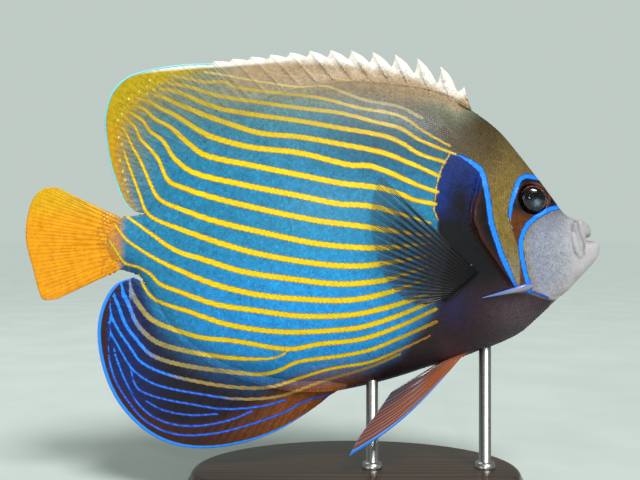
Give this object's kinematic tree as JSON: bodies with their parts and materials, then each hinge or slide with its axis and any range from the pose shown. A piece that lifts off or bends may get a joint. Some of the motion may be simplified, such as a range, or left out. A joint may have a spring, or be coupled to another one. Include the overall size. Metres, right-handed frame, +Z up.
{
  "type": "emperor angelfish model",
  "caption": "Life-size still model of an adult emperor angelfish, level on two short rods over a flat oval base.",
  "frame": {"origin": "on the floor under the middle of the model's bounding box", "axes": "+X from tail to snout, +Y to the fish's left flank, +Z up"},
  "size_m": [0.2408, 0.092, 0.1871],
  "materials": {
    "head_skin": "wet skin, olive with blue-edged dark bands and a grey snout",
    "lip_skin": "smooth pale grey skin",
    "flank_skin": "fine blue scales with narrow yellow stripes",
    "spine_fin": "white spine tips over brown scaled skin",
    "yellow_fin": "orange yellow fin skin",
    "dark_fin": "blue-black to rust brown fin with thin blue lines and a bright blue edge",
    "clear_fin": "dark rays in clear skin",
    "eye": "wet, clear over a dark iris",
    "stand_wood": "dark stained, satin",
    "stand_rod": "brushed"
  },
  "bodies": {
    "root": {"head": "head_skin", "gill_cover_R": "head_skin", "gill_cover_L": "head_skin", "upper_lip": "lip_skin", "lower_jaw": "lip_skin", "trunk": "flank_skin", "tail_root": "flank_skin", "dorsal_fin_spiny": "spine_fin", "dorsal_fin_soft": "yellow_fin", "caudal_fin": "yellow_fin", "anal_fin": "dark_fin", "pectoral_fin_R": "clear_fin", "pectoral_fin_L": "clear_fin", "pelvic_fin_R": "dark_fin", "pelvic_fin_L": "dark_fin", "eye_R": "eye", "eye_L": "eye", "stand_rod_1": "stand_rod", "stand_rod_2": "stand_rod", "stand_base": "stand_wood"}
  },
  "joints": []
}
